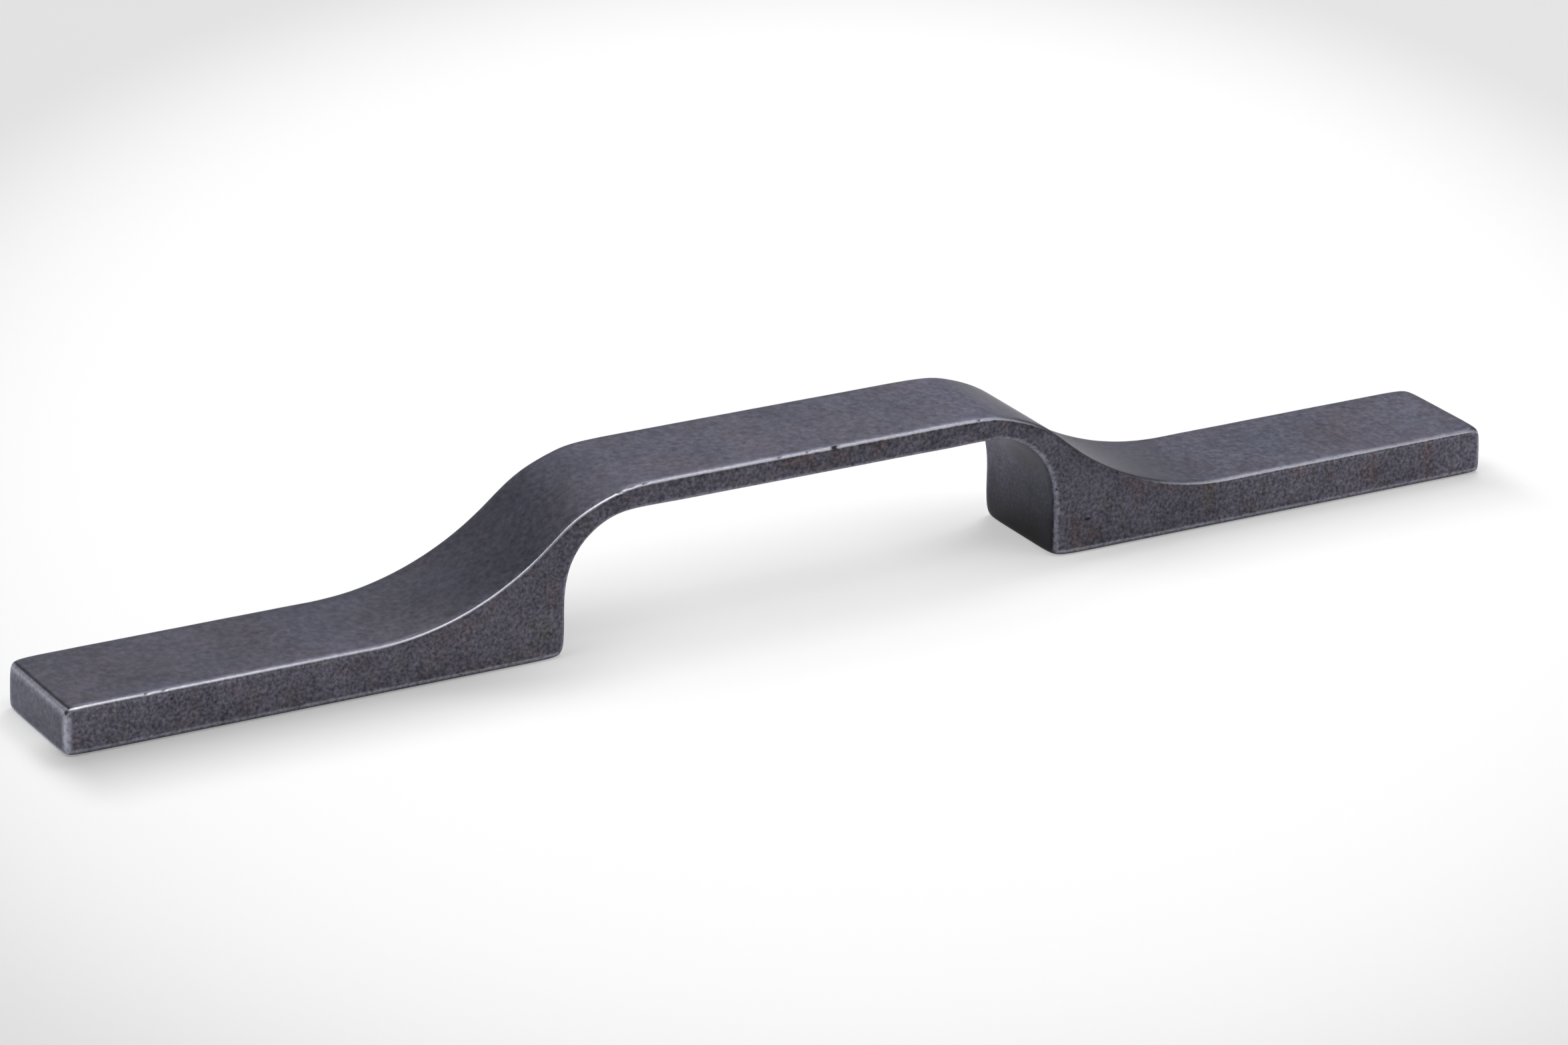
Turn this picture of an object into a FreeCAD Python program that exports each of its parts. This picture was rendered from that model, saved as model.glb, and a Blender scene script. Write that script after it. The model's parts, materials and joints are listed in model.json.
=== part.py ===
"""A long bow-shaped cabinet pull, cast in one piece. Millimetres, +Z away from the door it is fixed to.

Two flat wings lie on the door. Between them the bar sweeps up off a foot at each side to a level
grip with room for four fingers below. A tapped blind hole in each foot takes a screw from behind.
The origin is on the door's surface, midway between the two screws. The bar runs along X.
"""

import FreeCAD, Part
import math
import os
import Sketcher

SIZES = {
    # The outline, seen from the side, with the feet placed from the screws
    "overall_length": 292.0,
    "overall_height": 30.0,
    "screw_spacing": 128.0,
    "screw_to_foot_face": 13.4,
    "screw_to_wing": 24.3,
    "wing_thickness": 9.0,
    "sweep_radius": 54.0,
    "crown_radius": 30.4,
    "grip_thickness": 4.9,
    "inside_bend_radius": 13.8,
    # The casting's drafts, in degrees
    "foot_draft": 1.4,
    "end_draft": 1.2,
    "side_draft": 0.7,
    # Across the bar
    "base_width": 25.2,
    # The tumbled edges
    "corner_radius": 1.4,
    "underside_edge_radius": 1.2,
    "top_edge_radius": 1.0,
    "base_edge_radius": 0.8,
    # The holes for two M4 screws
    "tap_drill_diameter": 3.3,
    "screw_hole_depth": 10.0,
    "screw_hole_mouth": 4.4,
}
DRILL_POINT_ANGLE = 118.0
MOUTH_ANGLE = 90.0
SQUARE_ON = 0.99  # least share of a face's normal along an axis for the face to count as facing it
CLOSE = 0.01  # how near two lengths are when they are the same
QUARTER = math.radians(90)

HALF_LENGTH = "sizes.overall_length / 2"
HALF_WIDTH = "sizes.base_width / 2"
FOOT_PLACE = "sizes.screw_spacing / 2 - sizes.screw_to_foot_face"
WING_PLACE = "sizes.screw_spacing / 2 + sizes.screw_to_wing"
FOOT_CORNER = "(90 + sizes.foot_draft) * 1 deg"
END_CORNER = "(90 - sizes.end_draft) * 1 deg"

# Places in a sketch: the ends of a line or an arc, the centre of a circle, the axes and the origin
FIRST, LAST, CENTRE = 1, 2, 3
X_AXIS, UP_AXIS = -1, -2
ORIGIN = (X_AXIS, FIRST)


def add_sheet(doc):
    """The spreadsheet that drives every sketch and feature."""
    sheet = doc.addObject("Spreadsheet::Sheet", "sizes")
    for row, (word, value) in enumerate(SIZES.items(), 1):
        sheet.set(f"A{row}", word.replace("_", " "))
        sheet.set(f"B{row}", str(value))
        sheet.setAlias(f"B{row}", word)
    doc.recompute()
    return sheet


def origin_plane(body, role):
    return next(item for item in body.Origin.OriginFeatures if item.Role == role)


def add_sketch(body, name, role):
    sketch = body.newObject("Sketcher::SketchObject", name)
    sketch.AttachmentSupport = [(origin_plane(body, role), "")]
    sketch.MapMode = "FlatFace"
    return sketch


def tie(sketch, ties):
    """Constraints with no size, such as lines that meet or touch."""
    for one in ties:
        sketch.addConstraint(Sketcher.Constraint(*one))


def size(sketch, name, bound_to, *constraint):
    """A named dimension of a sketch, bound to the sheet."""
    index = sketch.addConstraint(Sketcher.Constraint(*constraint))
    sketch.renameConstraint(index, name)
    sketch.setExpression(f"Constraints.{name}", bound_to)


def outline_points(sheet):
    """The turns of the right half of the outline, and where its corners and centres lie, as (x, z)."""
    height, wing_top = sheet.overall_height, sheet.wing_thickness
    half, screw = sheet.overall_length / 2, sheet.screw_spacing / 2
    sweep, crown, bend = sheet.sweep_radius, sheet.crown_radius, sheet.inside_bend_radius
    below_grip = height - sheet.grip_thickness
    # The sweep and the crown are two arcs that meet tangentially between wing top and grip top.
    turn = math.acos(1 - (height - wing_top) / (sweep + crown))
    wing = screw + sheet.screw_to_wing
    crown_start = wing - (sweep + crown) * math.sin(turn)
    # The bend under the grip touches the leaning foot face and the level underside.
    foot = screw - sheet.screw_to_foot_face
    lean, end_lean = math.radians(sheet.foot_draft), math.radians(sheet.end_draft)
    bend_z = below_grip - bend
    bend_x = foot - (bend + bend_z * math.sin(lean)) / math.cos(lean)
    return {
        "turn": turn,
        "lean": lean,
        "end_lean": end_lean,
        "grip_top": (0, height),
        "crown_start": (crown_start, height),
        "crown_centre": (crown_start, height - crown),
        "sweep_start": (crown_start + crown * math.sin(turn), height - crown * (1 - math.cos(turn))),
        "sweep_centre": (wing, wing_top + sweep),
        "wing_start": (wing, wing_top),
        "wing_end": (half - wing_top * math.tan(end_lean), wing_top),
        "end_base": (half, 0),
        "foot_base": (foot, 0),
        "bend_start": (bend_x + bend * math.cos(lean), bend_z + bend * math.sin(lean)),
        "bend_centre": (bend_x, bend_z),
        "bend_end": (bend_x, below_grip),
        "grip_below": (0, below_grip),
    }


def sketch_outline(body, sheet):
    """The right half of the side outline, closed along the middle of the handle."""
    at = outline_points(sheet)
    sketch = add_sketch(body, "half_outline", "XZ_Plane")

    def line(start, stop):
        ends = [FreeCAD.Vector(*at[name], 0) for name in (start, stop)]
        return sketch.addGeometry(Part.LineSegment(*ends))

    def arc(centre, radius, start, stop):
        circle = Part.Circle(FreeCAD.Vector(*at[centre], 0), FreeCAD.Vector(0, 0, 1), radius)
        return sketch.addGeometry(Part.ArcOfCircle(circle, start, stop))

    top = line("grip_top", "crown_start")
    crown = arc("crown_centre", sheet.crown_radius, QUARTER - at["turn"], QUARTER)
    sweep = arc("sweep_centre", sheet.sweep_radius, 3 * QUARTER - at["turn"], 3 * QUARTER)
    wing = line("wing_start", "wing_end")
    end = line("wing_end", "end_base")
    base = line("end_base", "foot_base")
    foot = line("foot_base", "bend_start")
    bend = arc("bend_centre", sheet.inside_bend_radius, at["lean"], QUARTER)
    below = line("bend_end", "grip_below")
    middle = line("grip_below", "grip_top")
    tie(sketch, [
        ("Tangent", top, LAST, crown, LAST),
        ("Tangent", crown, FIRST, sweep, FIRST),
        ("Tangent", sweep, LAST, wing, FIRST),
        ("Coincident", wing, LAST, end, FIRST),
        ("Coincident", end, LAST, base, FIRST),
        ("Coincident", base, LAST, foot, FIRST),
        ("Tangent", foot, LAST, bend, FIRST),
        ("Tangent", bend, LAST, below, FIRST),
        ("Coincident", below, LAST, middle, FIRST),
        ("Coincident", middle, LAST, top, FIRST),
        ("Horizontal", top),
        ("Horizontal", wing),
        ("Horizontal", below),
        ("PointOnObject", base, FIRST, X_AXIS),
        ("PointOnObject", base, LAST, X_AXIS),
        ("PointOnObject", middle, FIRST, UP_AXIS),
        ("PointOnObject", middle, LAST, UP_AXIS),
    ])
    height, wing_top, thin = sheet.overall_height, sheet.wing_thickness, sheet.grip_thickness
    size(sketch, "height", "sizes.overall_height", "DistanceY", *ORIGIN, top, FIRST, height)
    size(sketch, "wing", "sizes.wing_thickness", "DistanceY", *ORIGIN, wing, LAST, wing_top)
    size(sketch, "grip", "sizes.grip_thickness", "DistanceY", middle, FIRST, middle, LAST, thin)
    size(sketch, "half_length", HALF_LENGTH, "DistanceX", *ORIGIN, base, FIRST, at["end_base"][0])
    size(sketch, "wing_place", WING_PLACE, "DistanceX", *ORIGIN, wing, FIRST, at["wing_start"][0])
    size(sketch, "foot_place", FOOT_PLACE, "DistanceX", *ORIGIN, base, LAST, at["foot_base"][0])
    size(sketch, "sweep", "sizes.sweep_radius", "Radius", sweep, sheet.sweep_radius)
    size(sketch, "crown", "sizes.crown_radius", "Radius", crown, sheet.crown_radius)
    size(sketch, "bend", "sizes.inside_bend_radius", "Radius", bend, sheet.inside_bend_radius)
    size(sketch, "foot_corner", FOOT_CORNER, "Angle", base, LAST, foot, FIRST, QUARTER + at["lean"])
    size(sketch, "end_corner", END_CORNER, "Angle", end, LAST, base, FIRST, QUARTER - at["end_lean"])
    return sketch


def sketch_side_drafts(body, sheet):
    """The sliver that the draft takes off each long side, thickest at the top of the grip."""
    sketch = add_sketch(body, "side_drafts", "YZ_Plane")
    height, half_width, draft = sheet.overall_height, sheet.base_width / 2, math.radians(sheet.side_draft)
    for name, side in (("right", -1), ("left", 1)):
        foot = FreeCAD.Vector(side * half_width, 0, 0)
        above = foot + FreeCAD.Vector(0, height, 0)
        inner = above - FreeCAD.Vector(side * height * math.tan(draft), 0, 0)
        rise = sketch.addGeometry(Part.LineSegment(foot, above))
        across = sketch.addGeometry(Part.LineSegment(above, inner))
        slope = sketch.addGeometry(Part.LineSegment(inner, foot))
        tie(sketch, [
            ("Coincident", rise, LAST, across, FIRST),
            ("Coincident", across, LAST, slope, FIRST),
            ("Coincident", slope, LAST, rise, FIRST),
            ("Vertical", rise),
            ("Horizontal", across),
            ("PointOnObject", rise, FIRST, X_AXIS),
        ])
        # Distances run to the right and angles anticlockwise, so the two sides differ in their order.
        corner, turned_to = (rise, FIRST), (slope, LAST)
        outwards = (*ORIGIN, *corner) if side > 0 else (*corner, *ORIGIN)
        turn = (*corner, *turned_to) if side > 0 else (*turned_to, *corner)
        size(sketch, f"{name}_half_width", HALF_WIDTH, "DistanceX", *outwards, half_width)
        size(sketch, f"{name}_height", "sizes.overall_height", "DistanceY", *corner, rise, LAST, height)
        size(sketch, f"{name}_draft", "sizes.side_draft * 1 deg", "Angle", *turn, draft)
    return sketch


def sketch_screw_holes(body, sheet):
    """A circle over each screw, on the face that lies against the door."""
    sketch = add_sketch(body, "screw_centres", "XY_Plane")
    drill, spacing = sheet.tap_drill_diameter, sheet.screw_spacing
    circles = []
    for side in (-1, 1):
        centre = FreeCAD.Vector(side * spacing / 2, 0, 0)
        circles.append(sketch.addGeometry(Part.Circle(centre, FreeCAD.Vector(0, 0, 1), drill / 2)))
    left, right = circles
    tie(sketch, [
        ("PointOnObject", left, CENTRE, X_AXIS),
        ("Symmetric", left, CENTRE, right, CENTRE, *ORIGIN),
        ("Equal", left, right),
    ])
    size(sketch, "spacing", "sizes.screw_spacing", "DistanceX", left, CENTRE, right, CENTRE, spacing)
    size(sketch, "drill", "sizes.tap_drill_diameter", "Diameter", left, drill)
    return sketch


def facing(face, axis):
    """How squarely a flat face looks along an axis, from -1 to 1; 0 for a curved face."""
    if not isinstance(face.Surface, Part.Plane):
        return 0
    return getattr(face.normalAt(0, 0), axis)


def is_side(face):
    return abs(facing(face, "y")) > SQUARE_ON


def is_end(face):
    return abs(facing(face, "x")) > SQUARE_ON and abs(face.CenterOfMass.x) > SIZES["screw_spacing"] / 2


def is_base(face):
    return facing(face, "z") < -SQUARE_ON and abs(face.CenterOfMass.z) < CLOSE


def is_round_about_y(face, *radii):
    """Whether a face is a piece of a cylinder along Y with one of these radii."""
    surface = face.Surface
    if not isinstance(surface, Part.Cylinder) or abs(surface.Axis.y) < SQUARE_ON:
        return False
    return any(abs(surface.Radius - radius) < CLOSE for radius in radii)


def is_upper(face):
    """The wings' tops, the sweeps, the crowns and the grip's top."""
    outer = is_round_about_y(face, SIZES["sweep_radius"], SIZES["crown_radius"])
    return outer or facing(face, "z") > SQUARE_ON


def is_under_grip(face):
    """The faces round the fingers: the feet, the bends and the grip's underside."""
    foot = abs(facing(face, "x")) > SQUARE_ON and not is_end(face)
    underside = facing(face, "z") < -SQUARE_ON and not is_base(face)
    return foot or underside or is_round_about_y(face, SIZES["inside_bend_radius"])


def edges_between(shape, one, other):
    """The names of the edges where a face of one kind meets a face of the other."""
    names = []
    for number, edge in enumerate(shape.Edges, 1):
        faces = shape.ancestorsOfType(edge, Part.Face)
        if len(faces) != 2:
            continue
        first, second = faces
        if (one(first) and other(second)) or (one(second) and other(first)):
            names.append(f"Edge{number}")
    return names


def not_a(kind):
    return lambda face: not kind(face)


def add_fillet(body, before, name, radius, one, other):
    """Rounds the edges between two kinds of face of the feature before."""
    names = edges_between(before.Shape, one, other)
    if not names:
        raise RuntimeError(f"{name}: no edge to round")
    fillet = body.newObject("PartDesign::Fillet", name)
    fillet.Base = (before, names)
    fillet.setExpression("Radius", f"sizes.{radius}")
    body.Document.recompute()
    return fillet


def add_screw_holes(body, sheet):
    """A drilled and tapped blind hole up into each foot; the thread itself is too fine to model here."""
    hole = body.newObject("PartDesign::Hole", "screw_holes")
    hole.Profile = sketch_screw_holes(body, sheet)
    body.Document.recompute()
    hole.Reversed = True
    hole.setExpression("Diameter", "sizes.tap_drill_diameter")
    hole.DepthType = "Dimension"
    hole.setExpression("Depth", "sizes.screw_hole_depth")
    hole.DrillPoint = "Angled"
    hole.DrillPointAngle = DRILL_POINT_ANGLE
    hole.HoleCutType = "Countersink"
    hole.HoleCutCustomValues = True
    hole.setExpression("HoleCutDiameter", "sizes.screw_hole_mouth")
    hole.HoleCutCountersinkAngle = MOUTH_ANGLE
    body.Document.recompute()
    return hole


def add_handle(doc, sheet):
    """The casting: half the outline, mirrored, with its drafts, rounded edges and screw holes."""
    body = doc.addObject("PartDesign::Body", "pull_handle")
    body.Label = "pull_handle"

    half = body.newObject("PartDesign::Pad", "half_bar")
    half.Profile = sketch_outline(body, sheet)
    half.SideType = "Symmetric"
    half.setExpression("Length", "sizes.base_width")
    doc.recompute()

    bar = body.newObject("PartDesign::Mirrored", "bar")
    bar.Originals = [half]
    bar.MirrorPlane = (origin_plane(body, "YZ_Plane"), [""])
    body.Tip = bar
    doc.recompute()

    drafted = body.newObject("PartDesign::Pocket", "drafted_sides")
    drafted.Profile = sketch_side_drafts(body, sheet)
    drafted.SideType = "Symmetric"
    drafted.Type = "ThroughAll"
    doc.recompute()
    if drafted.Shape.Volume >= bar.Shape.Volume:
        raise RuntimeError("the side drafts cut nothing")

    corners = add_fillet(body, drafted, "end_corners", "corner_radius", is_side, is_end)
    inside = add_fillet(body, corners, "underside_edges", "underside_edge_radius", is_side, is_under_grip)
    upper = add_fillet(body, inside, "top_edges", "top_edge_radius", is_upper, not_a(is_upper))
    base = add_fillet(body, upper, "base_edges", "base_edge_radius", is_base, not_a(is_base))
    holes = add_screw_holes(body, sheet)
    if holes.Shape.Volume >= base.Shape.Volume:
        raise RuntimeError("the screw holes cut nothing")
    return body


def check(doc, bodies):
    """Every object is computed, and every body is one valid solid."""
    for item in doc.Objects:
        if {"Invalid", "Error"} & set(item.State):
            raise RuntimeError(f"{item.Name} failed: {item.State}")
    for body in bodies:
        if body.Shape.isNull() or not body.Shape.isValid() or len(body.Shape.Solids) != 1:
            raise RuntimeError(f"{body.Label} isn't one valid solid")


def main():
    doc = FreeCAD.newDocument("cabinet_pull")
    sheet = add_sheet(doc)
    bodies = [add_handle(doc, sheet)]
    doc.recompute()
    check(doc, bodies)
    os.makedirs("parts", exist_ok=True)
    for body in bodies:
        body.Shape.exportStep(f"parts/{body.Label}.step")
        box = body.Shape.BoundBox
        print(body.Label, f"{box.XLength:.2f} x {box.YLength:.2f} x {box.ZLength:.2f} mm,",
              f"{body.Shape.Volume / 1000:.2f} cm3")


main()
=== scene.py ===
"""A tumbled cast D pull handle, dressed over its fixed frame and lit on a pale studio floor."""

import json
import math

import bmesh
import bpy
import numpy as np
from bpy.props import FloatProperty, FloatVectorProperty, IntProperty, PointerProperty
from bpy.types import Operator, Panel, PropertyGroup
from mathutils import Matrix, Vector, noise


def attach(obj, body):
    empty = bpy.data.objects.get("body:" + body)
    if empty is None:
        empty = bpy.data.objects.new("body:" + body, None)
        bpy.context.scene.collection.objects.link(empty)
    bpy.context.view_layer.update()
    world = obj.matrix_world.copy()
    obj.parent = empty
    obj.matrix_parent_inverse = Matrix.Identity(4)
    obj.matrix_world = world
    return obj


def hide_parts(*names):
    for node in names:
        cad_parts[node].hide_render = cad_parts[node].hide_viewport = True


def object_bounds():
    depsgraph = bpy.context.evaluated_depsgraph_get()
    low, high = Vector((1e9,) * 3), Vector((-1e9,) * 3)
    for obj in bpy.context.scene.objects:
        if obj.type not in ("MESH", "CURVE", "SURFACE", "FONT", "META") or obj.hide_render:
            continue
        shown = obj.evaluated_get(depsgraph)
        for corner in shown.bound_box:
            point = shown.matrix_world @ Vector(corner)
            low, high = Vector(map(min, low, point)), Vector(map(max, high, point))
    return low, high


bl_info = {
    "name": "Tumbled Cast Pull Handle",
    "version": (1, 0, 0),
    "blender": (4, 5, 0),
    "location": "3D View > Sidebar > Pull Handle",
    "description": "Builds a one-piece cast D pull handle and the studio that it is shown in",
    "category": "Add Mesh",
}

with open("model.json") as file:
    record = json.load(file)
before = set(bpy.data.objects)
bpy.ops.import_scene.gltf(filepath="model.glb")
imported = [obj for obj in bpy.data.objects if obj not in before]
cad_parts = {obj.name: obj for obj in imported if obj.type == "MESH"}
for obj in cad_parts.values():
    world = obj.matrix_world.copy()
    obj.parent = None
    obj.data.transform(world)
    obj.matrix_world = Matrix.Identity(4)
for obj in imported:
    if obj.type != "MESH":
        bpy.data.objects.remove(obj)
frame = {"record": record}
FRAME_LOW, FRAME_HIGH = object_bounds()
MOUNTS = {mount["name"]: mount for mount in frame["record"]["mounts"]}
HOLES = (MOUNTS["left_screw_hole"], MOUNTS["right_screw_hole"])

NODE = "pull_handle"
BODY = "root"
MM = 0.001

# A subdivided corner rounds like a fillet when its support loops stand this many radii away.
SUPPORT_PER_RADIUS = 1.757
# Cells of the casting's cage along half the grip, round an inside bend and along a wing.
GRIP_CELLS = 5
BEND_CELLS = 4
WING_CELLS = 7
# Half the width of the square of base round each screw hole.
PLUG = 4 * MM
HOLE_SIDES = 32
# No hole, with its drill point, reaches further than this from the door.
HOLE_ZONE = 12 * MM
HALF_DRILL_POINT = math.radians(59)
WALL_SIDES = 64
# The floor lies this far under the casting, so that their faces don't coincide.
FLOOR_GAP = 0.05 * MM
# The floor turns white between these squared distances from the casting, in square metres.
FLOOR_FADE = (0.2, 1.4)
# How far in from each end its corners are worn.
END_WEAR_REACH = 2.8 * MM
# Thin painted highlight lines run along the long sides: above the base and under the wings' top edge.
BASE_LINE_HEIGHT = 0.93 * MM
TOP_LINE_DROP = 0.85 * MM
# The values that each point of the casting carries for its material, some of them marking painted light and
# shade.
SURFACE_VALUES = ("scar", "flank", "coarse", "edge", "soft", "line", "shelter")

# Stretches along the handle, in millimetres: where each begins, is whole, starts to fade and ends.
# These carry painted reflections and shade on the top: lighter on the right crown, darker in both hollows.
RIGHT_CROWN = (28, 37, 39, 45)
RIGHT_HOLLOW = (50, 60, 66, 78)
LEFT_HOLLOW = (-92, -72, -58, -44)
# Where the top edge's painted highlight is held back, shaded or dimmed.
HIGHLIGHT_HELD_BACK = (41, 51, 64, 88)
SHADED_EDGE = (41, 46, 53, 60)
DIMMER_HIGHLIGHT = (-120, -100, -70, -62)
# The same, but outward from the middle on both sides.
BESIDE_FEET = (50, 58, 78, 92)
BESIDE_WINGS = (35, 75, 143, 156)

BLACK = (0, 0, 0, 1)
WHITE = (1, 1, 1, 1)
# Slight casts of colour: a bluer cast in the painted shade of the finger opening, a cast on the end faces,
# and a painted reflection tint on the right crown and hollow.
OPENING_SHADE_CAST = (0.95, 0.93, 1.1)
END_CAST = (0.95, 0.98, 1.07)
BEND_REFLECTION_CAST = (0.99, 0.92, 1.05)

# Nicks and pits: the middle, the reach along the handle and across it, and the depth, all in
# millimetres, and how dark it is.
MARKS = (
    ((-130.84, -12.29, 8.97), (0.5, 0.4), 0.12, 0.55),
    ((-127.5, -12.29, 8.98), (0.45, 0.35), 0.1, 0.5),
    ((-39.91, -12.04, 29.4), (0.9, 0.5), 0.16, 0.5),
    ((-37.39, -12.04, 29.7), (1.1, 0.35), 0.08, 0.35),
    ((-34.74, -12.04, 29.98), (0.7, 0.35), 0.08, 0.4),
    ((-7.58, -12.03, 30.0), (0.5, 0.35), 0.08, 0.45),
    ((-1.85, -12.03, 30.0), (0.45, 0.35), 0.08, 0.45),
    ((3.8, -12.04, 29.66), (0.95, 0.5), 0.17, 0.95),
    ((33.91, -12.04, 29.82), (0.5, 0.35), 0.09, 0.5),
    ((36.89, -12.05, 29.05), (0.5, 0.35), 0.09, 0.5),
    ((-145.5, -12.2, 8.4), (0.55, 0.5), 0.06, 0.8),
    ((-126.34, -12.51, 7.09), (0.35, 0.3), 0.07, 0.85),
    ((57.51, -12.52, 6.52), (0.95, 0.35), 0.12, 1.0),
    ((50.69, -12.44, 13.36), (0.35, 0.35), 0.06, 0.8),
    ((63.68, -12.42, 14.49), (0.35, 0.3), 0.06, 0.75),
    ((-22.44, -0.35, 30.0), (0.6, 0.5), 0.05, 0.3),
)

# The softboxes: name, place and aim in metres, size in metres and power in watts.
LAMPS = (
    ("ceiling_right", (0.6, 0.5, 1.2), (0.6, 0.5, 0), (0.5, 0.5), 7.8),
    ("ceiling_back_right", (0.6, 1.1, 1.2), (0.6, 1.1, 0), (0.5, 0.5), 3.0),
    ("ceiling_front_right", (0.6, -0.5, 1.2), (0.6, -0.5, 0), (0.5, 0.5), 1.0),
    ("ceiling_left", (-0.6, 0, 1.2), (-0.6, 0, 0), (0.5, 0.5), 4.0),
    ("ceiling_front", (0, -0.5, 1.2), (0, -0.5, 0), (0.5, 0.5), 3.9),
    ("ceiling_middle", (0, 0, 1.2), (0, 0, 0), (0.5, 0.5), 1.3),
    ("ceiling_back", (0, 1.1, 1.2), (0, 1.1, 0), (0.5, 0.5), 1.8),
    ("front_right", (0.94, -0.94, 0.89), (0, 0, 0), (0.8, 0.6), 2.2),
    ("back_left", (-0.94, 0.94, 0.89), (0, 0, 0), (0.8, 0.6), 1.3),
    ("back_low", (0, 1.57, 0.31), (0, 0, 0), (0.9, 0.4), 0.9),
    ("below", (0, 0, -1.2), (0, 0, 0), (1.0, 1.0), 12.0),
)


def length(name, description, mm):
    """A property that holds a length, given here in millimetres."""
    return FloatProperty(
        name=name, description=description, default=mm * MM, unit="LENGTH", subtype="DISTANCE", precision=5
    )


def angle(name, description, degrees):
    """A property that holds an angle, given here in degrees."""
    return FloatProperty(
        name=name, description=description, default=math.radians(degrees), unit="ROTATION", subtype="ANGLE"
    )


def share(name, description, default):
    """A property that holds a share from 0 to 1."""
    return FloatProperty(
        name=name, description=description, default=default, min=0, max=1, subtype="FACTOR"
    )


def colour(name, description, default):
    """A property that holds a linear colour."""
    return FloatVectorProperty(
        name=name, description=description, default=default, size=3, min=0, max=1, subtype="COLOR"
    )


class CastingSizes(PropertyGroup):
    """The sizes of the casting. Its outer box and its screws come from the frame."""

    wing_thickness: length("Wing thickness", "Depth of the flat wings outside the feet", 9)
    wing_start: length("Wing start", "From the middle to where the wing's top turns level", 88.3)
    sweep_radius: length("Sweep radius", "Hollow bend that rises from the wing", 54)
    crown_radius: length("Crown radius", "Round bend at the end of the grip", 30.4)
    grip_thickness: length("Grip thickness", "Depth of the grip bar", 4.9)
    inside_bend_radius: length("Inside bend radius", "Bend from a foot to the grip's underside", 13.8)
    foot_face: length("Foot face", "From the middle to a foot's inner face at the door", 50.6)
    foot_draft: angle("Foot draft", "Lean of the feet's inner faces", 1.4)
    end_draft: angle("End draft", "Lean of the end faces", 1.2)
    side_draft: angle("Side draft", "Lean of the long sides", 0.7)
    top_edge_radius: length("Top edge radius", "Rounding along the top's long edges", 1.0)
    inner_edge_radius: length("Inner edge radius", "Rounding round the finger opening", 1.3)
    base_edge_radius: length("Base edge radius", "Rounding along the base's long edges", 0.95)
    end_top_radius: length("End top radius", "Rounding between a wing's top and its end", 1.45)
    end_corner_radius: length("End corner radius", "Rounding of the upright corners at the ends", 1.55)
    base_end_radius: length("Base end radius", "Rounding across the base at the ends and feet", 0.8)
    end_ease: length("End ease", "How far the three-edged corners at the ends are worn back", 0.4)
    foot_ease: length("Foot ease", "How far the three-edged corners of the feet are worn back", 0.75)
    hole_mouth_radius: length("Hole mouth radius", "Countersink at each screw hole", 2.2)
    hole_depth: length("Hole depth", "Straight depth of each screw hole", 10)
    thread_depth: length("Thread depth", "How deep the thread is cut", 8.4)
    thread_pitch: length("Thread pitch", "Rise of the screw thread in one turn", 0.7)
    thread_major_radius: length("Thread major radius", "Radius at the thread's roots", 2.0)
    rounding_levels: IntProperty(
        name="Rounding levels", description="Times that the cage is subdivided", default=3, min=1, max=4
    )
    wave_height: length("Wave height", "Slow unevenness left by casting and tumbling", 0.02)
    wave_width: length("Wave width", "Distance over which that unevenness changes", 7)


class FinishAndLightLooks(PropertyGroup):
    """The colours and worn metal of the tumbled casting, and the painted shade and highlights on it."""

    top_colour: colour("Top colour", "Smooth blue-grey of the top", (0.099, 0.103, 0.140))
    top_warm: colour("Top warm", "Warmer patches of the top", (0.110, 0.102, 0.130))
    flank_colour: colour("Flank colour", "Darker grey of the sides", (0.116, 0.110, 0.140))
    brown_stain: colour("Brown stain", "Warm blotches on the sides", (0.129, 0.099, 0.104))
    olive_stain: colour("Olive stain", "Greenish blotches on the sides", (0.109, 0.108, 0.104))
    # Partly bare metal, partly a painted highlight on the top's edges.
    bare_metal_and_highlight_colour: colour("Rubbed colour", "Bare metal on rubbed edges", (0.54, 0.545, 0.60))
    # Partly lighter worn metal, partly painted highlight lines along the sides.
    dull_metal_and_sheen_colour: colour("Soft colour", "Lighter metal on the upright and lower edges", (0.50, 0.51, 0.60))
    pit_colour: colour("Pit colour", "Dark scale left in pits", (0.012, 0.012, 0.014))
    metal: share("Metal", "How metallic the surface is", 0.88)
    top_roughness: share("Top roughness", "Gloss of the top, lower is glossier", 0.44)
    flank_roughness: share("Flank roughness", "Gloss of the sides, lower is glossier", 0.58)
    edge_roughness: share("Edge roughness", "Gloss of rubbed edges", 0.34)
    # Painted shade: the faces inside the finger opening are darker.
    shelter: share("Shelter", "How much darker the sheltered faces of the finger opening are", 0.68)
    rub_and_highlight: share("Rub", "How much bare metal shows on the top's edges", 0.88)
    dull_rub_and_sheen: share("Soft rub", "How much lighter metal shows on the upright and lower edges", 0.85)


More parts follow.
